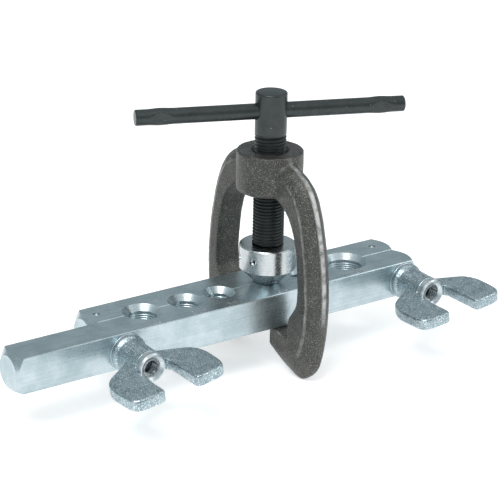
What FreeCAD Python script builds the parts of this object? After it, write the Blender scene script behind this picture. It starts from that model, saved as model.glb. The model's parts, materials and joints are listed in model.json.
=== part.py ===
"""Yoke-type flaring tool for soft copper tube.

Two square bars are drawn together by a pair of studs with wing nuts, so that the tube holes
split along their joint line grip a tube. A forged yoke hooks under the bars, and its screw
presses a 45 degree cone into the tube end. Millimetres, +Z up. X runs along the bars and Y
across them; the origin is on the screw axis, in the joint line, at the bars' underside.
"""

import FreeCAD, Part
import math
import os

V = FreeCAD.Vector
X_AXIS = V(1, 0, 0)
Y_AXIS = V(0, 1, 0)
Z_AXIS = V(0, 0, 1)

# Bars
BAR = 16.0                 # side of the square section
FRONT_LEFT = 136.0         # screw axis to the handle end
REAR_LEFT = 91.0           # screw axis to the back bar's left end
FRONT_RIGHT = 74.1         # screw axis to the front bar's right end
REAR_RIGHT = 74.8          # screw axis to the back bar's right end
END_DISC_R = 7.0           # flat left on each turned bar end
END_SLOPE = 0.75           # turned chamfer: length along the bar per unit of radius
END_BLANK = 0.75           # radius of the turned blank as a share of the bar, past its corners
REAR_LIP = 3.2             # full-thickness lip left above the undercut of the back bar
REAR_RAKE = 0.25           # undercut: length along the bar per unit of height
EDGE_BREAK = 0.35          # small chamfer on the long edges
OVERRUN = 1.0              # how far a cutter runs past the face it cuts

# Tube holes, left to right: place along the bar and tube diameter
TUBES = [(-65.9, 12.70), (-43.6, 11.11), (-26.0, 9.53), (0.0, 6.35), (18.0, 7.94), (43.8, 15.88)]
FLARE_DEPTH = 2.5          # depth of the 45 degree countersink
GROOVE_PITCH = 1.0         # grip grooves down each tube hole
GROOVE_DEPTH = 0.3

# Studs, pins, washers and wing nuts
STUD_X = {"left": -83.9, "right": 66.0}
STUD_DROP = 0.5            # stud axis below the bars' middle
STUD_R = 4.0
STUD_WALL = 3.0            # left behind the stud's blind hole in the back bar
STUD_REACH = 14.5          # stud length standing out of the front bar
STUD_TIP = 0.7             # chamfer on the stud's free end
STUD_PLAY = 0.3            # radial clearance in the front bar
PIN_R = 1.5
PIN_SHORT = 0.1            # pin ends below the bar's faces
WASHER_R = 8.4
WASHER_T = 1.3
WASHER_EDGE = 0.3
NUT_LENGTH = 19.4          # washer face to the machined ring face
NUT_FLANGE_R = 8.3
NUT_FLANGE_T = 1.8
NUT_RING_WALL = 2.6        # stud thread to the outside of the machined ring
NUT_RING_T = 3.0
NUT_RING_EDGE = 0.5
NUT_THREAD_PLAY = 0.08
NUT_GAP = 0.05             # nut to washer
WING_GAP = 0.8             # machined ring to the inner edge of a wing
WING_WIDTH = 15.8
WING_END = 41.2            # washer face to the far edge of the wings
WING_T = 5.4
WING_DROP = 0.8            # mid-plane of the wings below the nut's axis
WING_TILT = {"left": 8.4, "right": 6.7}

# Screw, cone and handle
SCREW_R = 7.0              # M14
SCREW_HEAD_TOP = 87.8      # above the bars' top face
HEAD_EDGE = 1.2
SHANK_EDGE = 1.0
TOMMY_R = 3.5
TOMMY_HALF = 60.0
TOMMY_DROP = 8.6           # top of the screw's head to the handle's axis
TOMMY_TURN = -21.3         # degrees about the screw axis
TOMMY_PLAY = 0.2
TOMMY_PINCH = 8.0          # length of the squeezed stretch near each end
TOMMY_PINCH_END = 7.0      # handle's tip to the squeezed stretch
TOMMY_PINCH_T = 5.0        # thickness left by the squeeze
TOMMY_SPREAD_R = 3.8       # half height that the squeeze spreads to, more than the hole in the head
TOMMY_EDGE = 0.4
CONE_R = 12.7
CONE_CAP = 10.8            # height of the cone's cylindrical part
CONE_EDGE = 0.5
CONE_NOSE_R = 2.4          # blunt nose
CONE_SEAT_GAP = 0.1        # cone to the countersink it stands in
NECK_R = 4.6
NECK_LENGTH = 11.0
NECK_EDGE = 0.4
NECK_PLAY = 0.06
NECK_GROOVE_R = 3.2
SHANK_GAP = 0.3            # screw shoulder to the cone's top
ROLL_PIN_R = 1.6
ROLL_PIN_WALL = 0.6
ROLL_PIN_DROP = 5.4        # cone's top to the axes of the two roll pins
ROLL_PIN_SLOT = 0.7
ROLL_PIN_SHORT = 0.1       # pin ends inside the cone's side
BALL_R = 2.5
BALL_PLAY = 0.05

# Yoke
ARM_W = 13.0               # width along the bars
ARM_CLEAR = 14.5           # a bar's side to the arm's inner face at its widest
ARM_DEPTH = 11.7           # inner face to the crown
CROWN_FLAT = 0.8           # width left flat along the crown
BOSS_R = 14.86
BOSS_TOP = 61.7            # above the bars' top face
BOSS_BOTTOM = 43.0
BOSS_EDGE = 2.0
BOSS_SINK = 1.4            # 45 degree countersink round the screw
SCREW_PLAY = 0.1
SHOULDER = 8.1             # gap from a bar's side to the inside of a foot
HOOK_GRIP = 4.5            # how far a foot reaches under a bar
HOOK_GAP = 0.4             # under the bars
HOOK_TIP = 12.6            # height of a hook's blunt end
FOOT_DROP = 20.4           # bars' underside to the bottom of the feet
EDGE_R = 0.8

def save(shape, name):
    """Write one sub-part."""
    shape.exportStep("parts/" + name + ".step")


def cylinder(r, length, start, axis):
    return Part.makeCylinder(r, length, start, axis)


def revolved(profile, base, axis):
    """A solid turned from (radius, distance along axis) points about an axis through base."""
    side = X_AXIS if abs(axis.x) < 0.5 else Y_AXIS
    points = [base + side * r + axis * h for r, h in profile]
    face = Part.Face(Part.makePolygon(points + points[:1]))
    return face.revolve(base, axis, 360)


def turned_bar(left, right, y0):
    """A square bar whose ends are turned to a cone with a flat disc."""
    reach = BAR * END_BLANK
    run = (reach - END_DISC_R) * END_SLOPE
    body = Part.makeBox(right - left, BAR, BAR, V(left, y0, 0))
    profile = [(0, left), (END_DISC_R, left), (reach, left + run), (reach, right - run),
               (END_DISC_R, right), (0, right)]
    blank = revolved(profile, V(0, y0 + BAR / 2, BAR / 2), X_AXIS)
    long_edges = [e for e in body.Edges if e.Length > BAR * 2]
    return body.makeChamfer(EDGE_BREAK, long_edges).common(blank)


def tube_cutter(x, tube_d):
    """The grooved, countersunk hole for one tube size."""
    r = tube_d / 2
    floor = BAR - FLARE_DEPTH
    profile = [(0, -OVERRUN), (r, -OVERRUN)]
    grooves = int((floor - GROOVE_PITCH) / GROOVE_PITCH)
    for i in range(grooves):
        z = GROOVE_PITCH * (i + 1)
        profile += [(r, z - GROOVE_DEPTH), (r + GROOVE_DEPTH, z), (r, z + GROOVE_DEPTH)]
    profile += [(r, floor), (r + FLARE_DEPTH + OVERRUN, BAR + OVERRUN), (0, BAR + OVERRUN)]
    return revolved(profile, V(x, 0, 0), Z_AXIS)


def stud_axis(side, y):
    return V(STUD_X[side], y, BAR / 2 - STUD_DROP)


def pin_hole(side):
    """Cross hole for a stud's pin, down through the back bar."""
    return cylinder(PIN_R, BAR + 2 * OVERRUN, V(STUD_X[side], BAR / 2, -OVERRUN), Z_AXIS)


def front_bar():
    bar = turned_bar(-FRONT_LEFT, FRONT_RIGHT, -BAR)
    for x, tube_d in TUBES:
        bar = bar.cut(tube_cutter(x, tube_d))
    for side in STUD_X:
        start = stud_axis(side, -BAR - OVERRUN)
        bar = bar.cut(cylinder(STUD_R + STUD_PLAY, BAR + 2 * OVERRUN, start, Y_AXIS))
    return bar


def back_bar():
    bar = turned_bar(-REAR_LEFT, REAR_RIGHT, 0)
    for x, tube_d in TUBES:
        bar = bar.cut(tube_cutter(x, tube_d))
    for side in STUD_X:
        depth = BAR - STUD_WALL
        bar = bar.cut(cylinder(STUD_R, depth + OVERRUN, stud_axis(side, -OVERRUN), Y_AXIS))
        bar = bar.cut(pin_hole(side))
    lip = BAR - REAR_LIP
    corner = V(-REAR_LEFT - OVERRUN, -OVERRUN, lip)
    root = V(-REAR_LEFT + lip * REAR_RAKE, -OVERRUN, -OVERRUN)
    wedge = Part.makePolygon([corner, root, V(corner.x, corner.y, -OVERRUN), corner])
    return bar.cut(Part.Face(wedge).extrude(V(0, BAR + 2 * OVERRUN, 0)))


def stud(side):
    """A stud pinned in the back bar, through the front bar, to carry a wing nut."""
    depth = BAR - STUD_WALL
    body = cylinder(STUD_R, depth + BAR + STUD_REACH, stud_axis(side, depth), -Y_AXIS)
    tip = [e for e in body.Edges if abs(e.BoundBox.YMax + BAR + STUD_REACH) < 0.01]
    return body.makeChamfer(STUD_TIP, tip).cut(pin_hole(side))


def stud_pin(side):
    return cylinder(PIN_R, BAR - 2 * PIN_SHORT, V(STUD_X[side], BAR / 2, PIN_SHORT), Z_AXIS)


def washer(side):
    body = cylinder(WASHER_R, WASHER_T, stud_axis(side, -BAR), -Y_AXIS)
    body = body.makeFillet(WASHER_EDGE, body.Edges)
    start = stud_axis(side, -BAR + OVERRUN)
    return body.cut(cylinder(STUD_R + STUD_PLAY, WASHER_T + 2 * OVERRUN, start, -Y_AXIS))


def wing(sign):
    """One wing as a flat rounded plate in nut coordinates: s sideways, d along the nut axis."""
    hub = STUD_R + NUT_RING_WALL
    inner_s = hub + WING_GAP
    outer_s = inner_s + WING_WIDTH
    root = STUD_R + NUT_RING_WALL / 2
    points = [(root, 8.0), (inner_s + WING_WIDTH * 0.35, 12.5), (outer_s - WING_WIDTH * 0.22, 17.0),
              (outer_s - 0.2, 23.5), (outer_s, 30.0), (outer_s - 0.8, WING_END - 4.2)]
    crown = Part.BSplineCurve()
    crown.interpolate([V(sign * s, -d, 0) for s, d in points])
    bend = V(sign * (outer_s - 1.4), -WING_END + 1.9, 0)
    corner = V(sign * (outer_s - 3.2), -WING_END + 0.8, 0)
    front = V(sign * (inner_s + 1.6), -WING_END, 0)
    nose = V(sign * (inner_s + 0.4), -WING_END + 0.5, 0)
    inner = V(sign * inner_s, -WING_END + 1.6, 0)
    heel = V(sign * inner_s, -NUT_LENGTH - 0.6, 0)
    back = V(sign * root, -NUT_LENGTH + NUT_RING_T, 0)
    edges = [crown.toShape(), Part.Arc(crown.EndPoint, bend, corner).toShape(),
             Part.makeLine(corner, front), Part.Arc(front, nose, inner).toShape(),
             Part.makeLine(inner, heel), Part.makeLine(heel, back), Part.makeLine(back, crown.StartPoint)]
    plate = Part.Face(Part.Wire(edges)).extrude(V(0, 0, WING_T))
    plate.translate(V(0, 0, -WING_T / 2))
    rim = [e for e in plate.Edges if abs(abs(e.CenterOfMass.z) - WING_T / 2) < 0.01]
    plate = plate.makeFillet(EDGE_R, rim)
    plate.translate(V(0, 0, -WING_DROP))
    return plate


def wing_nut(side):
    """A cast wing nut: flange, tapering hub with a turned ring, and two wings that reach forward."""
    ring = STUD_R + NUT_RING_WALL
    step = NUT_LENGTH - NUT_RING_T
    profile = [(0, 0), (NUT_FLANGE_R, 0), (NUT_FLANGE_R, NUT_FLANGE_T),
               (NUT_FLANGE_R - 1.0, NUT_FLANGE_T + 1.0), (ring + 0.5, NUT_LENGTH * 0.4),
               (ring + 0.3, step - 0.4), (ring, step),
               (ring, NUT_LENGTH - NUT_RING_EDGE), (ring - NUT_RING_EDGE, NUT_LENGTH), (0, NUT_LENGTH)]
    body = revolved(profile, V(0, 0, 0), -Y_AXIS)
    bore = cylinder(STUD_R + NUT_THREAD_PLAY, NUT_LENGTH + 2 * OVERRUN, V(0, OVERRUN, 0), -Y_AXIS)
    body = body.cut(bore)
    for sign in (-1, 1):
        body = body.fuse(wing(sign))
    body.rotate(V(0, 0, 0), Y_AXIS, -WING_TILT[side])
    body.translate(stud_axis(side, -BAR - WASHER_T - NUT_GAP))
    return body


def spline(points, side, start=None, end=None):
    """A curve through (across, up) points on one side of the screw, with optional end directions."""
    curve = Part.BSplineCurve()
    nodes = [V(0, side * across, up) for across, up in points]
    if start is None:
        curve.interpolate(nodes)
    else:
        first = V(0, side * start[0], start[1])
        last = V(0, side * end[0], end[1])
        curve.interpolate(Points=nodes, InitialTangent=first, FinalTangent=last)
    return curve.toShape()


def inner_edges(side):
    """Arch, shoulder and hook: the side of an arm that faces the screw and the bars."""
    arch_top = BAR + BOSS_BOTTOM
    drop = BOSS_BOTTOM - 5.0
    wide = BAR + ARM_CLEAR
    foot = BAR + SHOULDER
    tip = BAR - HOOK_GRIP
    arch = [(BOSS_R * 0.95, arch_top), (wide * 0.75, arch_top - drop * 0.15),
            (wide * 0.9, arch_top - drop * 0.4), (wide * 0.98, arch_top - drop * 0.72),
            (wide, arch_top - drop)]
    shoulder = [(wide, arch_top - drop), (wide - 0.9, BAR - 0.6), (foot + 1.5, BAR - 6.2),
                (foot, BAR - 10.5)]
    hook = [(foot, BAR - 10.5), (foot, -HOOK_GAP - 1.2), (foot - 1.0, -HOOK_GAP - 1.9),
            (tip + 4.0, -HOOK_GAP), (tip + 0.8, -HOOK_GAP), (tip, -HOOK_GAP - 0.8),
            (tip + 0.2, -HOOK_GAP - HOOK_TIP)]
    corners = [V(0, side * across, up) for across, up in hook]
    edges = [spline(arch, side, (1, -0.3), (0, -1)), spline(shoulder, side, (0, -1), (0, -1))]
    return edges + [Part.makeLine(a, b) for a, b in zip(corners, corners[1:])]


def outer_edges(side):
    """The crown line of an arm: under the foot, up the arm and over to the boss."""
    crown = BAR + ARM_CLEAR + ARM_DEPTH
    tip = BAR - HOOK_GRIP
    waist = BAR * 0.2
    peak = BAR + BOSS_BOTTOM + 13.5
    under = [(tip + 0.2, -HOOK_GAP - HOOK_TIP), (tip + 8.0, -FOOT_DROP + 2.3), (tip + 18.0, -FOOT_DROP),
             (crown - 3.8, -FOOT_DROP + 6.4), (crown - 0.5, waist)]
    over = [(crown - 0.5, waist), (crown, BAR + 3.0), (crown - 1.8, BAR + BOSS_BOTTOM * 0.5),
            (crown - 6.3, BAR + BOSS_BOTTOM * 0.88), (crown - 13.6, peak - 6.2), (BOSS_R * 0.9, peak)]
    return [spline(under, side, (0.72, -0.7), (0.08, 1)), spline(over, side, (0.08, 1), (-1, 0.12))]


def arm(side):
    """One arm with its hooked foot; the outer edges are rounded into a crown."""
    inner = inner_edges(side)
    outer = outer_edges(side)
    start = inner[0].valueAt(inner[0].FirstParameter)
    end = outer[-1].valueAt(outer[-1].LastParameter)
    low = V(0, 0, start.z)
    high = V(0, 0, end.z)
    core = [Part.makeLine(end, high), Part.makeLine(high, low), Part.makeLine(low, start)]
    outline = Part.Wire(Part.__sortEdges__(inner + outer + core))
    plate = Part.Face(outline).extrude(V(ARM_W, 0, 0))
    plate.translate(V(-ARM_W / 2, 0, 0))
    crown_line = Part.Wire(outer)
    crown_edges = [e for e in plate.Edges if on_crown(e, crown_line)]
    return plate.makeFillet((ARM_W - CROWN_FLAT) / 2, crown_edges)


def on_crown(edge, crown_line):
    """Whether an edge of the plate runs along the crown line, on either face."""
    middle = edge.valueAt((edge.FirstParameter + edge.LastParameter) / 2)
    if abs(abs(middle.x) - ARM_W / 2) > 0.01:
        return False
    return Part.Vertex(V(0, middle.y, middle.z)).distToShape(crown_line)[0] < 0.01


def yoke():
    """Forged yoke: a threaded boss over two arms whose feet hook under the bars."""
    height = BOSS_TOP - BOSS_BOTTOM
    base = BAR + BOSS_BOTTOM
    boss = cylinder(BOSS_R, height, V(0, 0, base), Z_AXIS)
    body = boss.makeFillet(BOSS_EDGE, [e for e in boss.Edges if abs(e.BoundBox.ZMax - base) < 0.01])
    for side in (-1, 1):
        body = body.fuse(arm(side))
    bore = cylinder(SCREW_R + SCREW_PLAY, height + 20 * OVERRUN, V(0, 0, base - 10 * OVERRUN), Z_AXIS)
    top = V(0, 0, BAR + BOSS_TOP - BOSS_SINK)
    sink = Part.makeCone(SCREW_R, SCREW_R + BOSS_SINK + OVERRUN, BOSS_SINK + OVERRUN, top, Z_AXIS)
    return body.cut(bore).cut(sink).removeSplitter()


def cone_corner():
    """Height of the cone's lower corner when its flank stands in the countersink below it."""
    seat_r = next(d for x, d in TUBES if x == 0) / 2 + FLARE_DEPTH
    return BAR + CONE_R - seat_r + CONE_SEAT_GAP


def cone_top():
    return cone_corner() + CONE_CAP


def roll_pin_start(side, reach):
    """End of the axis of one roll pin, reach to the left of the screw axis."""
    across = NECK_GROOVE_R + ROLL_PIN_R + NECK_PLAY
    return V(-reach, side * across, cone_top() - ROLL_PIN_DROP)


def flaring_cone():
    """Hardened 45 degree cone that carries the end of the screw on a ball."""
    corner = cone_corner()
    top = cone_top()
    nose = corner - (CONE_R - CONE_NOSE_R)
    profile = [(0, nose), (CONE_NOSE_R, nose), (CONE_R, corner), (CONE_R, top - CONE_EDGE),
               (CONE_R - CONE_EDGE, top), (0, top)]
    body = revolved(profile, V(0, 0, 0), Z_AXIS)
    neck_end = top - NECK_LENGTH
    body = body.cut(cylinder(NECK_R + NECK_PLAY, NECK_LENGTH + OVERRUN, V(0, 0, neck_end), Z_AXIS))
    ball_seat = 2 * (BALL_R + BALL_PLAY)
    body = body.cut(cylinder(BALL_R + BALL_PLAY, ball_seat, V(0, 0, neck_end - ball_seat), Z_AXIS))
    for side in (-1, 1):
        body = body.cut(cylinder(ROLL_PIN_R, 2 * CONE_R, roll_pin_start(side, CONE_R), X_AXIS))
    return body


def cone_pin(side):
    """Slotted spring pin through the cone, running in the groove of the screw's neck."""
    across = roll_pin_start(side, 0).y
    reach = math.sqrt(CONE_R ** 2 - (abs(across) + ROLL_PIN_R) ** 2) - ROLL_PIN_SHORT
    start = roll_pin_start(side, reach)
    tube = cylinder(ROLL_PIN_R, 2 * reach, start, X_AXIS)
    tube = tube.cut(cylinder(ROLL_PIN_R - ROLL_PIN_WALL, 2 * reach, start, X_AXIS))
    slot = Part.makeBox(2 * reach, ROLL_PIN_SLOT, ROLL_PIN_R + OVERRUN, start - V(0, ROLL_PIN_SLOT / 2, 0))
    return tube.cut(slot)


def thrust_ball():
    return Part.makeSphere(BALL_R, V(0, 0, cone_top() - NECK_LENGTH - BALL_R - BALL_PLAY))


def head_top():
    return BAR + SCREW_HEAD_TOP


def tommy_z():
    return head_top() - TOMMY_DROP


def feed_screw():
    """M14 screw: plain drilled head, threaded shank and a grooved neck inside the cone."""
    shank = cone_top() + SHANK_GAP
    neck_end = cone_top() - NECK_LENGTH
    groove = ROLL_PIN_R + NECK_PLAY
    pin_z = cone_top() - ROLL_PIN_DROP
    profile = [(0, neck_end), (NECK_R - NECK_EDGE, neck_end), (NECK_R, neck_end + NECK_EDGE),
               (NECK_R, pin_z - groove), (NECK_GROOVE_R, pin_z - groove),
               (NECK_GROOVE_R, pin_z + groove), (NECK_R, pin_z + groove),
               (NECK_R, shank), (SCREW_R - SHANK_EDGE, shank), (SCREW_R, shank + SHANK_EDGE),
               (SCREW_R, head_top() - HEAD_EDGE * 0.6), (SCREW_R - HEAD_EDGE, head_top()), (0, head_top())]
    body = revolved(profile, V(0, 0, 0), Z_AXIS)
    hole = cylinder(TOMMY_R + TOMMY_PLAY, 4 * SCREW_R, V(-2 * SCREW_R, 0, tommy_z()), X_AXIS)
    hole.rotate(V(0, 0, 0), Z_AXIS, TOMMY_TURN)
    return body.cut(hole)


def tommy_bar():
    """Round handle bar, squeezed near both ends so that it can't slide out of the head."""
    body = cylinder(TOMMY_R, 2 * TOMMY_HALF, V(-TOMMY_HALF, 0, 0), X_AXIS)
    body = body.makeChamfer(TOMMY_EDGE, [e for e in body.Edges if e.BoundBox.XLength < 0.01])
    far = TOMMY_HALF - TOMMY_PINCH_END
    near = far - TOMMY_PINCH
    wide = 2 * TOMMY_SPREAD_R
    for left in (-far, near):
        zone = Part.makeBox(TOMMY_PINCH, wide, wide, V(left, -wide / 2, -wide / 2))
        spread = cylinder(TOMMY_SPREAD_R, TOMMY_PINCH, V(left, 0, 0), X_AXIS)
        press = Part.makeBox(TOMMY_PINCH, TOMMY_PINCH_T, wide, V(left, -TOMMY_PINCH_T / 2, -wide / 2))
        body = body.cut(zone).fuse(spread.common(press))
    body.rotate(V(0, 0, 0), Z_AXIS, TOMMY_TURN)
    body.translate(V(0, 0, tommy_z()))
    return body


def main():
    os.makedirs("parts", exist_ok=True)
    save(front_bar(), "front_bar")
    save(back_bar(), "back_bar")
    for side in STUD_X:
        save(stud(side), "stud_" + side)
        save(stud_pin(side), "stud_pin_" + side)
        save(washer(side), "washer_" + side)
        save(wing_nut(side), "wing_nut_" + side)
    save(yoke(), "yoke")
    save(feed_screw(), "feed_screw")
    save(tommy_bar(), "tommy_bar")
    save(flaring_cone(), "flaring_cone")
    save(cone_pin(-1), "cone_pin_front")
    save(cone_pin(1), "cone_pin_back")
    save(thrust_ball(), "thrust_ball")


main()
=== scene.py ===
"""Looks of the yoke flaring tool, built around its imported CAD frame.

The bars, washers, studs, pins, cone and ball keep their CAD shape and get materials here. The
yoke, wing nuts, screw and handle are replaced by detailed meshes: forged and cast skins made by
remeshing lofted solids, helical threads, and pinched handle ends. Lengths are written in
millimetres in the row frame and become metres in mesh_object(): X along the bars, Y across
them, Z up, with the bars' underside at 0.
"""

import json
import math

import bmesh
import bpy
from mathutils import Matrix, Vector, noise


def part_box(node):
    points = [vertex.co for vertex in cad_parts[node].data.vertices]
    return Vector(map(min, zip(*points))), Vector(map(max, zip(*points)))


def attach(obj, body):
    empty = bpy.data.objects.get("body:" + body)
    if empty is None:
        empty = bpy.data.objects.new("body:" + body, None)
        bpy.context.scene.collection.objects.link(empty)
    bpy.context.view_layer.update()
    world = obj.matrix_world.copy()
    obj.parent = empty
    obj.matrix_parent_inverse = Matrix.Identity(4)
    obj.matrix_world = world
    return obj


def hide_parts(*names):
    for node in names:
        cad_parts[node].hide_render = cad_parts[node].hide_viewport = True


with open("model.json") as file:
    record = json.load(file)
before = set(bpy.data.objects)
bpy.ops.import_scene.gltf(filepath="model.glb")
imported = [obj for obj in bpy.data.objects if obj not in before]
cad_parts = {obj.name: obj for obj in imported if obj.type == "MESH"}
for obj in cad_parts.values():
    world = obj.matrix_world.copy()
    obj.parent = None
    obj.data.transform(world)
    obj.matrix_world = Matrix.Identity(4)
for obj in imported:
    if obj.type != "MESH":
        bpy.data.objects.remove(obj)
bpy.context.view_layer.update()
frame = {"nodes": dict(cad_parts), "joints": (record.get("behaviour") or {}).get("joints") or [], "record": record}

MM = 0.001


def span(node):
    """A node's lowest and highest corners in millimetres."""
    low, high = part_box(node)
    return low / MM, high / MM


# Driving sizes, in millimetres, read from the frame where it has them
BAR = span("front_bar")[1].z
FLOOR_Z = span("yoke")[0].z
JOINTS = {j["name"]: j for j in frame["joints"]}
SCREW_LOW, SCREW_HIGH = span("feed_screw")
SCREW_R = SCREW_HIGH.x
SCREW_PITCH = 1.5
CONE_TOP = span("flaring_cone")[1].z
HEAD_PLAIN = 18.5          # plain head above the screw's thread
HEAD_EDGE = 1.0
THREAD_SHARE = 0.61        # thread depth as a share of the pitch
NECK_R = 4.6
NECK_EDGE = 0.4
STUD_PITCH = 1.25
STUD_R = 4.0
TOMMY_R = 3.5
TOMMY_HALF = 60.0
TOMMY_DROP = 8.6           # head top to the handle's axis
TOMMY_PLAY = 0.2
TOMMY_TIP = 0.35           # small chamfer round each tip
PINCH_MIDDLE = 11.0        # handle's tip to the middle of a squeezed stretch
PINCH_REACH = 6.0          # half length of a squeezed stretch

# Yoke
ARM_HALF = 6.5
FLASH_HALF = 1.1           # trimmed parting line along the crown
BOSS_R = 14.8
BOSS_TOP = span("yoke")[1].z
BOSS_BOTTOM = BOSS_TOP - 18.7
YOKE_VOXEL = 0.42
SCREW_PLAY = 0.1
BORE_SINK = 1.6            # countersink at the top of the yoke's bore

# Wing nuts
NUT_VOXEL = 0.3
NUT_LENGTH = 19.4
NUT_RING_T = 3.0
NUT_PLAY = 0.08
NUT_FLANGE_R = 8.3
NUT_RING_R = 6.6
WING_GAP = 0.8             # hub to a wing's inner edge
WING_WIDTH = 15.8
WING_END = 41.2            # washer face to the far edge of the wings
WING_HALF = 2.7            # half thickness
WING_DROP = 0.8
NUT_TILT = {"left": 8.4, "right": 6.7}
NUT_FACE_Y = -17.35        # washer face that the nuts bear on
STUD_END_Y = span("stud_left")[0].y


# ---------------------------------------------------------------- mesh helpers

def mesh_object(name, verts, faces):
    """A new object from millimetre points."""
    mesh = bpy.data.meshes.new(name)
    mesh.from_pydata([Vector(v) * MM for v in verts], [], faces)
    bm = bmesh.new()
    bm.from_mesh(mesh)
    bmesh.ops.remove_doubles(bm, verts=bm.verts, dist=1e-7)
    bmesh.ops.recalc_face_normals(bm, faces=bm.faces)
    bm.to_mesh(mesh)
    bm.free()
    obj = bpy.data.objects.new(name, mesh)
    bpy.context.scene.collection.objects.link(obj)
    return obj


def smooth_shade(obj, angle=40):
    """Smooth shading, kept sharp over edges steeper than the angle."""
    mesh = obj.data
    mesh.polygons.foreach_set("use_smooth", [True] * len(mesh.polygons))
    bm = bmesh.new()
    bm.from_mesh(mesh)
    limit = math.radians(angle)
    for edge in bm.edges:
        edge.smooth = len(edge.link_faces) == 2 and edge.calc_face_angle(0) < limit
    bm.to_mesh(mesh)
    bm.free()


def ring_faces(rings, count, closed=False):
    """Quads between successive rings of count points, with end caps unless the tube is closed."""
    faces = []
    for j in range(rings if closed else rings - 1):
        a = j * count
        b = (j + 1) % rings * count
        for i in range(count):
            n = (i + 1) % count
            faces.append((a + i, a + n, b + n, b + i))
    if not closed:
        faces.append(tuple(range(count))[::-1])
        faces.append(tuple(range((rings - 1) * count, rings * count)))
    return faces


def lathe(profile, steps=96):
    """Verts and faces turned about Z from (radius, height) points."""
    verts = []
    for r, h in profile:
        for i in range(steps):
            a = 2 * math.pi * i / steps
            verts.append((r * math.cos(a), r * math.sin(a), h))
    return verts, ring_faces(len(profile), steps)


def moved(verts, matrix):
    return [tuple(matrix @ Vector(v)) for v in verts]


def joined(parts):
    """One verts and faces pair out of several."""
    verts = []
    faces = []
    for v, f in parts:
        base = len(verts)
        verts += v
        faces += [tuple(i + base for i in face) for face in f]
    return verts, faces


def applied(obj):
    """Replace an object's mesh by the one that its modifiers make."""
    graph = bpy.context.evaluated_depsgraph_get()
    mesh = bpy.data.meshes.new_from_object(obj.evaluated_get(graph))
    obj.modifiers.clear()
    old = obj.data
    obj.data = mesh
    bpy.data.meshes.remove(old)
    return obj


def skinned(name, parts, voxel, rounds):
    """A cast or forged skin: the parts as one remeshed and smoothed surface."""
    obj = mesh_object(name, *joined(parts))
    remesh = obj.modifiers.new("skin", "REMESH")
    remesh.mode = "VOXEL"
    remesh.voxel_size = voxel * MM
    soften = obj.modifiers.new("soften", "SMOOTH")
    soften.factor = 0.5
    soften.iterations = rounds
    return applied(obj)


def cut(obj, verts, faces, solver="MANIFOLD"):
    """Take a closed solid away from an object."""
    tool = mesh_object(obj.name + "_tool", verts, faces)
    boolean = obj.modifiers.new("cut", "BOOLEAN")
    boolean.operation = "DIFFERENCE"
    boolean.solver = solver
    boolean.object = tool
    applied(obj)
    bpy.data.objects.remove(tool)
    return obj


def roughen(obj, depth, size):
    """Uneven skin in the mesh itself: each vertex sinks along its normal by smooth noise."""
    points = [v.co.copy() for v in obj.data.vertices]
    normals = [v.normal.copy() for v in obj.data.vertices]
    moved_points = []
    for point, normal in zip(points, normals):
        n = noise.noise(point / (size * MM)) + 0.5 * noise.noise(point / (size * 0.37 * MM))
        moved_points += list(point - normal * (0.5 + 0.5 * n) * depth * MM)
    obj.data.vertices.foreach_set("co", moved_points)
    obj.data.update()


def helix_rows(low, high, pitch, crest, root, lead=12, steps=72, fade=1.0):
    """Rings that follow a right-hand helix between two heights, with the thread faded at the top."""
    shape = [0.0, 0.0, 0.22, 0.46, 0.7, 0.94, 1.0, 1.0, 0.94, 0.7, 0.46, 0.22]
    verts = []
    turns = int((high - low) / pitch) + 2
    for j in range(turns * lead):
        depth = shape[j % lead]
        for i in range(steps):
            z = low + pitch * (j / lead - 1 + i / steps)
            z = min(max(z, low), high)
            near_end = min(1.0, (high - z) / (pitch * fade))
            r = crest + (root - crest) * depth * near_end
            a = 2 * math.pi * i / steps
            verts.append((r * math.cos(a), r * math.sin(a), z))
    return verts


def finish_piece(obj, body, material, replaced=()):
    obj.data.materials.clear()
    obj.data.materials.append(material)
    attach(obj, body)
    if replaced:
        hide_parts(*replaced)
    return obj


# ---------------------------------------------------------------- materials

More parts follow.
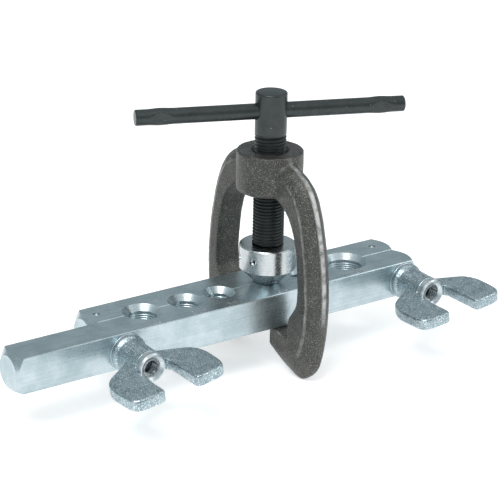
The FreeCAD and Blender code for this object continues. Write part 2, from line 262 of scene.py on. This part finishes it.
class Shader:
    """A small builder of node materials. Texture space is the row frame in millimetres."""

    def __init__(self, name, metallic, roughness):
        self.material = bpy.data.materials.new(name)
        self.material.use_nodes = True
        self.tree = self.material.node_tree
        self.bsdf = self.tree.nodes["Principled BSDF"]
        self.bsdf.inputs["Metallic"].default_value = metallic
        self.bsdf.inputs["Roughness"].default_value = roughness
        coord = self.tree.nodes.new("ShaderNodeTexCoord")
        self.place = self.node("ShaderNodeVectorMath", operation="SCALE")
        self.link(coord.outputs["Object"], self.place.inputs[0])
        self.place.inputs["Scale"].default_value = 1 / MM
        self.height = None

    def node(self, kind, **settings):
        made = self.tree.nodes.new(kind)
        for key, value in settings.items():
            setattr(made, key, value)
        return made

    def link(self, out, into):
        self.tree.links.new(out, into)

    def stretched(self, scale):
        made = self.node("ShaderNodeVectorMath", operation="MULTIPLY")
        self.link(self.place.outputs[0], made.inputs[0])
        made.inputs[1].default_value = scale
        return made.outputs[0]

    def noise(self, scale, detail=4, stretch=(1, 1, 1), rough=0.55, distortion=0.0):
        made = self.node("ShaderNodeTexNoise")
        self.link(self.stretched(stretch), made.inputs["Vector"])
        made.inputs["Scale"].default_value = scale
        made.inputs["Detail"].default_value = detail
        made.inputs["Roughness"].default_value = rough
        made.inputs["Distortion"].default_value = distortion
        return made.outputs["Fac"]

    def cells(self, scale):
        made = self.node("ShaderNodeTexVoronoi")
        self.link(self.place.outputs[0], made.inputs["Vector"])
        made.inputs["Scale"].default_value = scale
        return made.outputs["Distance"]

    def remap(self, value, low, high, to_low=0.0, to_high=1.0):
        made = self.node("ShaderNodeMapRange")
        self.link(value, made.inputs["Value"])
        made.inputs["From Min"].default_value = low
        made.inputs["From Max"].default_value = high
        made.inputs["To Min"].default_value = to_low
        made.inputs["To Max"].default_value = to_high
        return made.outputs["Result"]

    def math(self, operation, a, b):
        made = self.node("ShaderNodeMath", operation=operation)
        for socket, value in zip(made.inputs, (a, b)):
            if isinstance(value, (int, float)):
                socket.default_value = value
            else:
                self.link(value, socket)
        return made.outputs[0]

    def mix(self, factor, a, b):
        """Colours a and b, each a tuple or an output, mixed by the factor."""
        made = self.node("ShaderNodeMix", data_type="RGBA")
        self.link(factor, made.inputs["Factor"])
        for socket, value in ((made.inputs[6], a), (made.inputs[7], b)):
            if isinstance(value, tuple):
                socket.default_value = (*value, 1)
            else:
                self.link(value, socket)
        return made.outputs[2]

    def colour(self, output):
        self.link(output, self.bsdf.inputs["Base Color"])

    def roughness(self, output):
        self.link(output, self.bsdf.inputs["Roughness"])

    def bump(self, output, strength, distance):
        """Add a bump layer; distance is in millimetres."""
        made = self.node("ShaderNodeBump")
        made.inputs["Strength"].default_value = strength
        made.inputs["Distance"].default_value = distance * MM
        self.link(output, made.inputs["Height"])
        if self.height:
            self.link(self.height, made.inputs["Normal"])
        self.height = made.outputs["Normal"]
        self.link(self.height, self.bsdf.inputs["Normal"])


def zinc_plate():
    """Bright zinc on drawn bar: soft satin mottle, hair-fine streaks along the bar and a few scratches."""
    s = Shader("zinc_plate", 0.92, 0.3)
    mottle = s.noise(0.10, 4)
    streak = s.noise(0.6, 4, stretch=(0.03, 4.5, 4.5))
    blotch = s.noise(1.4, 6, rough=0.7)
    tone = s.math("ADD", s.math("MULTIPLY", mottle, 0.6), s.math("MULTIPLY", streak, 0.4))
    base = s.mix(s.remap(tone, 0.38, 0.62), (0.37, 0.46, 0.49), (0.54, 0.62, 0.65))
    speck = s.remap(s.cells(1.1), 0.0, 0.10, 1, 0)
    base = s.mix(s.math("MULTIPLY", speck, 0.4), base, (0.85, 0.88, 0.9))
    scratch = s.noise(0.22, 2, stretch=(0.5, 1, 1), distortion=1.2)
    line = s.remap(s.math("ABSOLUTE", s.math("SUBTRACT", scratch, 0.5), 0), 0.0, 0.0018, 1, 0)
    base = s.mix(s.math("MULTIPLY", line, 0.3), base, (0.25, 0.28, 0.28))
    s.colour(base)
    s.roughness(s.remap(s.math("ADD", blotch, s.math("MULTIPLY", streak, 0.5)), 0.5, 1.0, 0.24, 0.36))
    s.bump(streak, 0.08, 0.03)
    s.bump(blotch, 0.10, 0.04)
    return s.material


def zinc_casting():
    """Zinc over a sand-rough casting: fine pebble grain on the faces, lightened at its high points into painted
    glints.
    """
    s = Shader("zinc_casting", 0.92, 0.34)
    grain = s.noise(2.0, 4, rough=0.6)
    pebble = s.cells(1.9)
    mottle = s.noise(0.25, 4)
    base = s.mix(s.remap(mottle, 0.35, 0.65), (0.20, 0.28, 0.31), (0.33, 0.42, 0.46))
    # painted glints: the grain's high points lightened to near-white
    base = s.mix(s.remap(grain, 0.52, 0.63), base, (0.80, 0.86, 0.89))
    s.colour(base)
    s.roughness(s.remap(grain, 0.3, 0.7, 0.26, 0.44))
    s.bump(pebble, 0.35, 0.14)
    s.bump(grain, 0.4, 0.16)
    return s.material


def turned_steel():
    """Steel turned on a lathe about Z: hair-fine rings under a soft polish."""
    s = Shader("turned_steel", 1.0, 0.2)
    parts = s.node("ShaderNodeSeparateXYZ")
    s.link(s.place.outputs[0], parts.inputs[0])
    x, y, z = parts.outputs
    radius = s.math("SQRT", s.math("ADD", s.math("MULTIPLY", x, x), s.math("MULTIPLY", y, y)), 0)
    rings = s.node("ShaderNodeTexNoise", noise_dimensions="1D")
    s.link(s.math("ADD", radius, z), rings.inputs["W"])
    rings.inputs["Scale"].default_value = 3.5
    rings.inputs["Detail"].default_value = 3
    ring = rings.outputs["Fac"]
    mottle = s.noise(0.5, 4)
    tone = s.math("ADD", s.math("MULTIPLY", ring, 0.5), s.math("MULTIPLY", mottle, 0.5))
    s.colour(s.mix(s.remap(tone, 0.35, 0.65), (0.42, 0.45, 0.46), (0.62, 0.65, 0.66)))
    s.roughness(s.remap(mottle, 0.3, 0.7, 0.20, 0.32))
    s.bump(ring, 0.12, 0.03)
    return s.material


def forged_steel():
    """Scaled forging: brown-grey, finely pebbled and dull, with painted glints and bright ridges that are partly
    wear and partly painted highlight.
    """
    s = Shader("forged_steel", 0.6, 0.46)
    coarse = s.noise(0.16, 5, rough=0.6)
    grain = s.noise(2.2, 4, rough=0.7)
    pebble = s.cells(1.6)
    base = s.mix(s.remap(coarse, 0.34, 0.68), (0.044, 0.045, 0.042), (0.076, 0.076, 0.070))
    rust = s.remap(s.noise(0.12, 4), 0.58, 0.76)
    base = s.mix(s.math("MULTIPLY", rust, 0.35), base, (0.085, 0.066, 0.050))
    base = s.mix(s.remap(grain, 0.32, 0.48, 0.75, 0), base, (0.022, 0.022, 0.020))
    # painted glints: the grain's high points lightened toward pale grey, as if catching the light
    painted_glint = s.remap(grain, 0.56, 0.65)
    base = s.mix(s.math("MULTIPLY", painted_glint, 0.75), base, (0.42, 0.41, 0.38))
    # bright ridges: painted highlight along the arms' corners, with some real wear on the crown's parting line
    wear_and_highlight = ridge_wear_and_highlight(s, grain)
    base = s.mix(wear_and_highlight, base, (0.62, 0.62, 0.61))
    s.colour(base)
    s.roughness(s.math("SUBTRACT", s.remap(grain, 0.3, 0.7, 0.34, 0.54), s.math("MULTIPLY", wear_and_highlight, 0.15)))
    s.bump(pebble, 0.5, 0.25)
    s.bump(grain, 0.6, 0.2)
    return s.material


def ridge_wear_and_highlight(s, grain):
    """Mask of the arms' bright ridges: the trimmed parting line on the crown, part wear and part painted
    highlight, and the two side creases, painted highlights where the corners catch the light.
    """
    geometry = s.node("ShaderNodeNewGeometry")
    facing = s.node("ShaderNodeSeparateXYZ")
    s.link(geometry.outputs["Normal"], facing.inputs[0])
    parts = s.node("ShaderNodeSeparateXYZ")
    s.link(s.place.outputs[0], parts.inputs[0])
    x, y, z = parts.outputs
    wide = s.math("ABSOLUTE", x, 0)
    outside = s.remap(s.math("ABSOLUTE", y, 0), 14, 18)
    outward = s.remap(s.math("MULTIPLY", facing.outputs["Y"], s.math("SIGN", y, 0)), 0.05, 0.3)
    patchy = s.remap(s.noise(0.3, 3), 0.34, 0.6, 0.3, 1)
    off = s.math("ADD", wide, s.math("MULTIPLY", grain, 0.5))
    crown = s.math("MULTIPLY", s.remap(off, 0.9, 1.7, 1, 0), s.remap(z, 4, 22))
    # side creases: a painted highlight line where the arm's corner turns toward the light
    crease_highlight = s.remap(wide, 5.7, 6.2)
    turning = s.remap(s.math("ABSOLUTE", facing.outputs["X"], 0), 0.93, 0.99, 1, 0)
    crease_highlight = s.math("MULTIPLY", s.math("MULTIPLY", crease_highlight, turning), 0.4)
    mask = s.math("MULTIPLY", s.math("MAXIMUM", s.math("MULTIPLY", crown, 0.75), crease_highlight), outside)
    return s.math("MULTIPLY", s.math("MULTIPLY", mask, outward), patchy)


def black_oxide():
    """Oil-blacked steel: near-black green-grey with a satin sheen and a few bare nicks."""
    s = Shader("black_oxide", 0.7, 0.32)
    coarse = s.noise(0.25, 4)
    grain = s.noise(2.6, 4)
    base = s.mix(s.remap(coarse, 0.3, 0.7), (0.036, 0.043, 0.043), (0.050, 0.058, 0.058))
    base = s.mix(s.remap(grain, 0.60, 0.72, 0, 0.5), base, (0.12, 0.13, 0.13))
    nick = s.remap(s.noise(0.9, 2, rough=0.8), 0.735, 0.75)
    base = s.mix(s.math("MULTIPLY", nick, 0.9), base, (0.55, 0.56, 0.55))
    s.colour(base)
    s.roughness(s.remap(grain, 0.3, 0.7, 0.26, 0.40))
    s.bump(grain, 0.2, 0.04)
    return s.material


def machined_steel(name, dark, light):
    """Machined and plated steel: smooth and only faintly uneven."""
    s = Shader(name, 1.0, 0.3)
    grain = s.noise(0.9, 4)
    s.colour(s.mix(s.remap(grain, 0.35, 0.65), dark, light))
    s.roughness(s.remap(grain, 0.3, 0.7, 0.28, 0.38))
    s.bump(grain, 0.05, 0.02)
    return s.material


def struck_metal():
    """Bruised metal of the figures: finely speckled dark and bright."""
    s = Shader("struck_figure", 0.9, 0.35)
    grain = s.noise(2.5, 4)
    s.colour(s.mix(s.remap(grain, 0.42, 0.58), (0.16, 0.19, 0.20), (0.85, 0.88, 0.9)))
    s.bump(grain, 0.4, 0.1)
    return s.material


def floor_paint():
    """Matt white paint with a little glow, so that shadows stay soft and pale."""
    s = Shader("floor_paint", 0.0, 0.85)
    s.colour(s.mix(s.remap(s.noise(0.004, 3), 0.3, 0.7), (0.70, 0.70, 0.70), (0.73, 0.73, 0.73)))
    s.bsdf.inputs["Emission Color"].default_value = (1, 1, 1, 1)
    s.bsdf.inputs["Emission Strength"].default_value = 0.5
    return s.material


# ---------------------------------------------------------------- yoke

def smooth_path(points, per_span):
    """Points of a centripetal-looking cubic through the given tuples."""
    path = []
    for k in range(len(points) - 1):
        p0 = points[max(k - 1, 0)]
        p1 = points[k]
        p2 = points[k + 1]
        p3 = points[min(k + 2, len(points) - 1)]
        for j in range(per_span):
            t = j / per_span
            path.append(tuple(
                0.5 * (2 * b + (c - a) * t + (2 * a - 5 * b + 4 * c - d) * t * t
                       + (3 * b - a - 3 * c + d) * t ** 3)
                for a, b, c, d in zip(p0, p1, p2, p3)))
    path.append(points[-1])
    return path


def arm_section(depth, crown):
    """Half outline of an arm's section as (x, depth) points, from the inner face to the crown."""
    edge = 0.9
    side = depth - crown
    points = [(0, 0), (ARM_HALF * 0.5, 0), (ARM_HALF - edge, 0), (ARM_HALF - 0.25, 0.25), (ARM_HALF, edge)]
    points += [(ARM_HALF, edge + (side - edge) * 0.5), (ARM_HALF, side)]
    arc = 8
    for i in range(1, arc + 1):
        q = i / arc
        a = q * math.pi / 2
        width = ARM_HALF - FLASH_HALF
        round_x = FLASH_HALF + width * math.cos(a)
        round_t = side + crown * math.sin(a)
        flat_x = FLASH_HALF + width * (1 - q)
        flat_t = side + crown * q
        share = 0.45
        points.append((round_x * (1 - share) + flat_x * share, round_t * (1 - share) + flat_t * share))
    points.append((0, depth))
    return points


def arm(side):
    """Loft one arm and its hooked foot from paired (inner, outer, crown width) stations."""
    wide = BAR + 14.5
    foot = BAR + 8.1
    tip = BAR - 4.5
    out = wide + 11.7
    low = FLOOR_Z
    stations = [
        (6.0, BOSS_BOTTOM + 0.6, 6.0, BOSS_BOTTOM + 16.5, 6.0),
        (14.1, BOSS_BOTTOM, 17.5, BOSS_BOTTOM + 15.3, 6.0),
        (20.4, BOSS_BOTTOM - 3.2, 28.4, BOSS_BOTTOM + 9.6, 6.2),
        (25.2, BOSS_BOTTOM - 9.6, 34.6, BOSS_BOTTOM - 0.6, 6.3),
        (28.2, BOSS_BOTTOM - 18.0, 38.4, BOSS_BOTTOM - 13.0, 6.3),
        (wide - 0.8, BOSS_BOTTOM - 27.0, 40.8, BOSS_BOTTOM - 24.4, 6.3),
        (wide, BAR + 6.5, out - 0.1, BAR + 6.0, 6.3),
        (wide - 0.7, BAR - 0.2, out, BAR - 1.5, 6.3),
        (wide - 3.2, BAR - 4.4, out - 0.2, BAR - 7.5, 6.4),
        (foot + 0.9, BAR - 7.8, out - 0.4, BAR - 12.0, 6.8),
        (foot, BAR - 11.4, out - 1.0, -1.5, 7.6),
        (foot, 1.2, out - 2.2, -8.0, 9.0),
        (foot, -1.2, out - 4.8, -14.6, 10.8),
        (foot - 0.9, -2.2, out - 12.2, low, 12.4),
        (foot - 3.6, -1.7, 22.5, low + 1.2, 11.0),
        (tip + 5.5, -0.9, 16.5, low + 3.8, 8.0),
        (tip + 1.4, -0.5, tip + 1.5, low + 6.5, 6.0),
        (tip, -1.4, tip, low + 7.8, 4.6)]
    verts = []
    rings = 0
    for iy, iz, oy, oz, crown in smooth_path(stations, 4):
        inner = Vector((0, side * iy, iz))
        outer = Vector((0, side * oy, oz))
        depth = (outer - inner).length
        reach = (outer - inner).normalized()
        half = arm_section(depth, min(crown, depth * 0.8))
        loop = half + [(-x, t) for x, t in reversed(half[1:-1])]
        verts += [tuple(inner + reach * t + Vector((x, 0, 0))) for x, t in loop]
        rings += 1
    return verts, ring_faces(rings, len(verts) // rings)


def boss():
    edge = 2.2
    profile = [(0.01, BOSS_BOTTOM), (BOSS_R - edge, BOSS_BOTTOM)]
    for i in range(1, 7):
        a = i / 6 * math.pi / 2
        profile.append((BOSS_R - edge + edge * math.sin(a), BOSS_BOTTOM + edge - edge * math.cos(a)))
    profile += [(BOSS_R, BOSS_TOP - 0.5), (BOSS_R - 0.5, BOSS_TOP), (0.01, BOSS_TOP)]
    return lathe(profile)


def blend_arms(obj):
    """Fillet where the arms run into the boss, by smoothing only round the junction."""
    group = obj.vertex_groups.new(name="junction")
    for v in obj.data.vertices:
        across = abs(v.co.y) / MM
        up = v.co.z / MM
        if BOSS_BOTTOM - 6 < up < BOSS_TOP - 1.5 and abs(v.co.x) / MM < 12:
            weight = max(0.0, 1 - abs(across - BOSS_R + 0.5) / 5)
            group.add([v.index], weight, "REPLACE")
    soften = obj.modifiers.new("fillet", "SMOOTH")
    soften.factor = 0.5
    soften.iterations = 40
    soften.vertex_group = "junction"
    applied(obj)


def yoke(material):
    """Forged skin over the boss and both arms, bored and countersunk for the screw."""
    obj = skinned("yoke_forging", [boss(), arm(-1), arm(1)], YOKE_VOXEL, 3)
    blend_arms(obj)
    roughen(obj, 0.16, 3.0)
    bore = SCREW_R + SCREW_PLAY
    sink = BORE_SINK
    cutter = [(0.01, BOSS_BOTTOM - 8), (bore, BOSS_BOTTOM - 8), (bore, BOSS_TOP - sink),
              (bore + sink + 2, BOSS_TOP + 2), (0.01, BOSS_TOP + 2)]
    cut(obj, *lathe(cutter))
    smooth_shade(obj, 35)
    finish_piece(obj, "front", material, ["yoke"])


# ---------------------------------------------------------------- screw and handle

def feed_screw(material):
    """The screw with its real helical thread, plain head, and neck down inside the cone."""
    low = CONE_TOP + 0.3
    high = SCREW_HIGH.z - HEAD_PLAIN
    steps = 72
    depth = SCREW_PITCH * THREAD_SHARE
    root = SCREW_R - depth
    rows = []
    foot = SCREW_LOW.z
    for r, z in ((0.01, foot), (NECK_R - NECK_EDGE, foot), (NECK_R, foot + NECK_EDGE), (NECK_R, low),
                 (root, low)):
        rows += [(r * math.cos(2 * math.pi * i / steps), r * math.sin(2 * math.pi * i / steps), z)
                 for i in range(steps)]
    rows += helix_rows(low, high, SCREW_PITCH, SCREW_R, root, steps=steps)
    edge = HEAD_EDGE
    top = SCREW_HIGH.z
    head = [(SCREW_R, high + 0.4), (SCREW_R, top - edge)]
    for i in range(1, 6):
        a = i / 5 * math.pi / 2
        head.append((SCREW_R - edge + edge * math.cos(a), top - edge * 0.7 + edge * 0.7 * math.sin(a)))
    head.append((0.01, top))
    for r, z in head:
        rows += [(r * math.cos(2 * math.pi * i / steps), r * math.sin(2 * math.pi * i / steps), z)
                 for i in range(steps)]
    obj = mesh_object("screw_threaded", rows, ring_faces(len(rows) // steps, steps))
    hole_r = TOMMY_R + TOMMY_PLAY
    hole = lathe([(0.01, -12), (hole_r, -12), (hole_r, 12), (0.01, 12)], 48)
    cut(obj, moved(hole[0], tommy_place()), hole[1], "EXACT")
    smooth_shade(obj, 50)
    finish_piece(obj, "screw", material, ["feed_screw"])


def tommy_place():
    """Turns a solid that stands along Z to lie along the handle, in the head's cross hole."""
    slide = Vector(JOINTS["tommy_slide"]["axis"])
    turn = slide.to_track_quat("Z", "X").to_matrix().to_4x4()
    return Matrix.Translation((0, 0, SCREW_HIGH.z - TOMMY_DROP)) @ turn


def tommy_bar(material):
    """Round bar, squeezed near both ends by a punch: thinner across, a little taller."""
    middle = TOMMY_HALF - PINCH_MIDDLE
    reach = PINCH_REACH
    verts = []
    steps = 48
    stops = [0, 12, 24, middle - reach] + [middle - reach + 2 * reach * k / 24 for k in range(1, 25)]
    stops += [TOMMY_HALF - TOMMY_TIP, TOMMY_HALF]
    stops = [-s for s in reversed(stops[1:])] + stops
    for s in stops:
        near = max(0.0, 1 - abs(abs(s) - middle) / reach)
        press = near * near * (3 - 2 * near)
        tip = TOMMY_TIP if abs(s) == TOMMY_HALF else 0.0
        flat = TOMMY_R - 1.0 * press
        tall = TOMMY_R + 0.3 * press - tip
        for i in range(steps):
            a = 2 * math.pi * i / steps
            across = (TOMMY_R - tip) * math.sin(a)
            verts.append((tall * math.cos(a), min(max(across, -flat), flat), s))
    obj = mesh_object("tommy_bar_pinched", moved(verts, tommy_place()), ring_faces(len(stops), steps))
    smooth_shade(obj, 24)
    finish_piece(obj, "handle", material, ["tommy_bar"])


# ---------------------------------------------------------------- wing nuts

def wing(sign):
    """One wing as a closed plate in nut coordinates: s sideways, height along the nut axis."""
    inner = NUT_RING_R + WING_GAP
    outer = inner + WING_WIDTH
    end = WING_END
    crown = [(5.3, 8.0), (inner + 5.2, 12.3), (outer - 3.3, 17.0), (outer - 0.2, 23.5), (outer, 30.0),
             (outer - 0.7, end - 4.0), (outer - 2.6, end - 1.2), (outer - 6.0, end - 0.2)]
    edge = smooth_path(crown, 4)
    edge += [(inner + 2.0, end), (inner + 0.6, end - 0.5), (inner, end - 1.8), (inner, NUT_LENGTH + 0.6),
             (5.3, NUT_LENGTH - 3.0)]
    count = len(edge)
    rim = 1.0
    centre = Vector((sum(p[0] for p in edge) / count, sum(p[1] for p in edge) / count))
    layers = [(-WING_HALF, rim), (-WING_HALF + 0.3, 0.35), (-WING_HALF + rim, 0.0),
              (WING_HALF - rim, 0.0), (WING_HALF - 0.3, 0.35), (WING_HALF, rim)]
    verts = []
    for level, inset in layers:
        for p in edge:
            q = Vector(p)
            q += (centre - q).normalized() * inset
            verts.append((sign * q.x, level - WING_DROP, q.y))
    return verts, ring_faces(len(layers), count)


def nut_place(side):
    """From nut coordinates, with Z along the nut's axis, to the row frame."""
    pos = JOINTS["nut_" + side + "_turn"]["pos_m"]
    turn = Matrix.Rotation(-math.radians(NUT_TILT[side]), 4, "Y")
    upright = Matrix.Rotation(math.pi / 2, 4, "X")
    return Matrix.Translation((pos[0] / MM, NUT_FACE_Y, pos[2] / MM)) @ turn @ upright


def wing_nut(side, casting, ring_finish, painted_shade_thread_finish):
    """Cast wings and hub, a turned face ring, and the thread that shows in the open end, in a darker steel that
    paints the shade inside the bore.
    """
    step = NUT_LENGTH - NUT_RING_T
    rim = NUT_FLANGE_R
    hub = [(0.01, 0), (rim - 0.2, 0), (rim, 0.3), (rim, 1.6), (rim - 0.5, 2.2), (7.2, 2.9), (7.0, 7.8),
           (6.9, 11.5), (6.9, step - 0.4), (6.6, step), (0.01, step)]
    place = nut_place(side)
    obj = skinned("wing_nut_casting_" + side, [lathe(hub), wing(-1), wing(1)], NUT_VOXEL, 4)
    roughen(obj, 0.12, 1.1)
    bore = STUD_R + NUT_PLAY
    cut(obj, *lathe([(0.01, -2), (bore, -2), (bore, NUT_LENGTH + 2), (0.01, NUT_LENGTH + 2)], 64))
    clear = NUT_RING_R + 0.02
    cut(obj, *lathe([(0.01, step), (clear, step), (clear, NUT_LENGTH + 2), (0.01, NUT_LENGTH + 2)], 64))
    obj.data.transform(Matrix.Scale(MM, 4) @ place @ Matrix.Scale(1 / MM, 4))
    smooth_shade(obj, 35)
    finish_piece(obj, "nut_" + side, casting, ["wing_nut_" + side])
    r = NUT_RING_R
    face = [(bore, step), (r, step), (r, NUT_LENGTH - 0.6), (r - 0.6, NUT_LENGTH), (bore + 1.5, NUT_LENGTH),
            (bore + 1.2, NUT_LENGTH - 0.25), (bore, NUT_LENGTH - 1.2)]
    steps = 96
    verts = lathe(face, steps)[0]
    faces = ring_faces(len(face), steps, closed=True)
    ring = mesh_object("nut_face_ring_" + side, moved(verts, place), faces)
    smooth_shade(ring, 30)
    finish_piece(ring, "nut_" + side, ring_finish)
    low = NUT_FACE_Y - STUD_END_Y + 0.3
    high = NUT_LENGTH - 1.0
    inside = helix_rows(low, high, STUD_PITCH, STUD_R - 0.62, STUD_R, steps=48, fade=0.8)
    outside = [(bore * math.cos(2 * math.pi * i / 48), bore * math.sin(2 * math.pi * i / 48), z)
               for z in (high, low) for i in range(48)]
    sleeve = inside + outside
    thread = mesh_object("nut_thread_" + side, moved(sleeve, place),
                         ring_faces(len(sleeve) // 48, 48, closed=True))
    smooth_shade(thread, 50)
    # the thread takes the darker steel, painted shade of the bore
    finish_piece(thread, "nut_" + side, painted_shade_thread_finish)


# ---------------------------------------------------------------- struck size figures

def struck_figures(material):
    """Tube sizes beside each hole, as thin raised figures near the front bar's front edge."""
    sizes = {"1_2in": "1/2", "7_16in": "7/16", "3_8in": "3/8", "1_4in": "1/4", "5_16in": "5/16",
             "5_8in": "5/8"}
    for mount in frame["record"]["mounts"]:
        key = mount["name"].split("_", 2)[-1]
        if key not in sizes:
            continue
        text = bpy.data.curves.new("figures", "FONT")
        text.body = sizes[key]
        text.size = 4.2 * MM
        text.extrude = 0.04 * MM
        text.bevel_depth = 0.05 * MM
        text.align_x = "CENTER"
        obj = bpy.data.objects.new("figures_" + key, text)
        bpy.context.scene.collection.objects.link(obj)
        obj.location = (mount["pos_m"][0] - 1.5 * MM, -14.6 * MM, (BAR + 0.01) * MM)
        bpy.context.view_layer.update()
        graph = bpy.context.evaluated_depsgraph_get()
        mesh = bpy.data.meshes.new_from_object(obj.evaluated_get(graph))
        mesh.transform(obj.matrix_world)
        made = bpy.data.objects.new("size_figures_" + key, mesh)
        bpy.context.scene.collection.objects.link(made)
        bpy.data.objects.remove(obj)
        finish_piece(made, "front", material)


# ---------------------------------------------------------------- stud pins

def stud_pin(side, material):
    """Driven pin in the back bar's top: a dimpled end in a dark ring of clearance."""
    x = JOINTS["nut_" + side + "_turn"]["pos_m"][0] / MM
    y = BAR / 2
    shank = [(0.01, 0.1), (1.5, 0.1), (1.5, BAR - 1.2), (1.2, BAR - 1.1), (1.2, BAR - 0.35),
             (1.0, BAR - 0.1), (0.6, BAR - 0.12), (0.25, BAR - 0.45), (0.01, BAR - 0.5)]
    verts, faces = lathe(shank, 40)
    obj = mesh_object("stud_pin_driven_" + side, moved(verts, Matrix.Translation((x, y, 0))), faces)
    smooth_shade(obj, 35)
    finish_piece(obj, "rear", material, ["stud_pin_" + side])


# ---------------------------------------------------------------- stage

def camera():
    """The photograph's viewpoint: 36 degrees left of the front and 21 degrees up, long lens."""
    right = Vector((0.8160, -0.5777, 0.0205))
    down = Vector((-0.1937, -0.3066, -0.9319))
    forward = Vector((0.5447, 0.7565, -0.3620))
    data = bpy.data.cameras.new("camera")
    data.sensor_width = 36
    data.lens = 147.9
    data.clip_end = 50
    obj = bpy.data.objects.new("camera", data)
    bpy.context.scene.collection.objects.link(obj)
    turn = Matrix((right, -down, -forward)).transposed().to_4x4()
    obj.matrix_world = Matrix.Translation(Vector((-502.6, -684.6, 360.15)) * MM) @ turn
    bpy.context.scene.camera = obj


def area_light(name, place, target, size, power, tint=(1, 1, 1)):
    data = bpy.data.lights.new(name, "AREA")
    data.shape = "SQUARE"
    data.size = size
    data.energy = power
    data.color = tint
    obj = bpy.data.objects.new(name, data)
    bpy.context.scene.collection.objects.link(obj)
    obj.location = place
    obj.rotation_euler = (Vector(target) - Vector(place)).to_track_quat("-Z", "Y").to_euler()


def studio():
    """White floor, a soft room that is darker near the horizon, and two softboxes."""
    floor = mesh_object("floor", [(-4000, -4000, FLOOR_Z), (4000, -4000, FLOOR_Z), (4000, 4000, FLOOR_Z),
                                  (-4000, 4000, FLOOR_Z)], [(0, 1, 2, 3)])
    floor.data.materials.append(floor_paint())
    area_light("key", (-0.9, -0.6, 1.5), (0, 0, 0.03), 0.8, 20)
    area_light("fill", (1.1, -1.0, 0.9), (0, 0, 0.03), 0.8, 7)
    world = bpy.data.worlds.new("room")
    bpy.context.scene.world = world
    world.use_nodes = True
    tree = world.node_tree
    background = tree.nodes["Background"]
    coord = tree.nodes.new("ShaderNodeTexCoord")
    parts = tree.nodes.new("ShaderNodeSeparateXYZ")
    ramp = tree.nodes.new("ShaderNodeValToRGB")
    tree.links.new(coord.outputs["Generated"], parts.inputs[0])
    tree.links.new(parts.outputs["Z"], ramp.inputs["Fac"])
    tree.links.new(ramp.outputs["Color"], background.inputs["Color"])
    stops = ramp.color_ramp.elements
    stops[0].position = 0.0
    stops[0].color = (0.66, 0.70, 0.72, 1)
    stops[1].position = 0.9
    stops[1].color = (1, 1, 1, 1)
    for position, colour in ((0.25, (0.38, 0.45, 0.47, 1)), (0.55, (0.40, 0.47, 0.50, 1))):
        stops.new(position).color = colour
    background.inputs["Strength"].default_value = 0.9
    scene = bpy.context.scene
    scene.view_settings.view_transform = "Standard"
    scene.view_settings.exposure = 0.0


# ---------------------------------------------------------------- everything together

def main():
    plate = zinc_plate()
    casting = zinc_casting()
    turned = turned_steel()
    bright = machined_steel("bright_steel", (0.50, 0.56, 0.58), (0.64, 0.69, 0.71))
    # a darker copy of the bright steel: painted shade for the thread down inside the nuts' bores
    thread = machined_steel("thread_steel_painted_shade", (0.12, 0.14, 0.15), (0.34, 0.38, 0.40))
    forged = forged_steel()
    black = black_oxide()
    finishes = {"front_bar": plate, "back_bar": plate, "washer_left": plate, "washer_right": plate,
                "flaring_cone": turned}
    for name in ("stud_left", "stud_right", "cone_pin_front", "cone_pin_back", "thrust_ball"):
        finishes[name] = bright
    for name, material in finishes.items():
        node = frame["nodes"][name]
        node.data.materials.clear()
        node.data.materials.append(material)
    yoke(forged)
    feed_screw(black)
    tommy_bar(black)
    for side in NUT_TILT:
        wing_nut(side, casting, bright, thread)
        stud_pin(side, bright)
    struck_figures(struck_metal())
    camera()
    studio()


main()
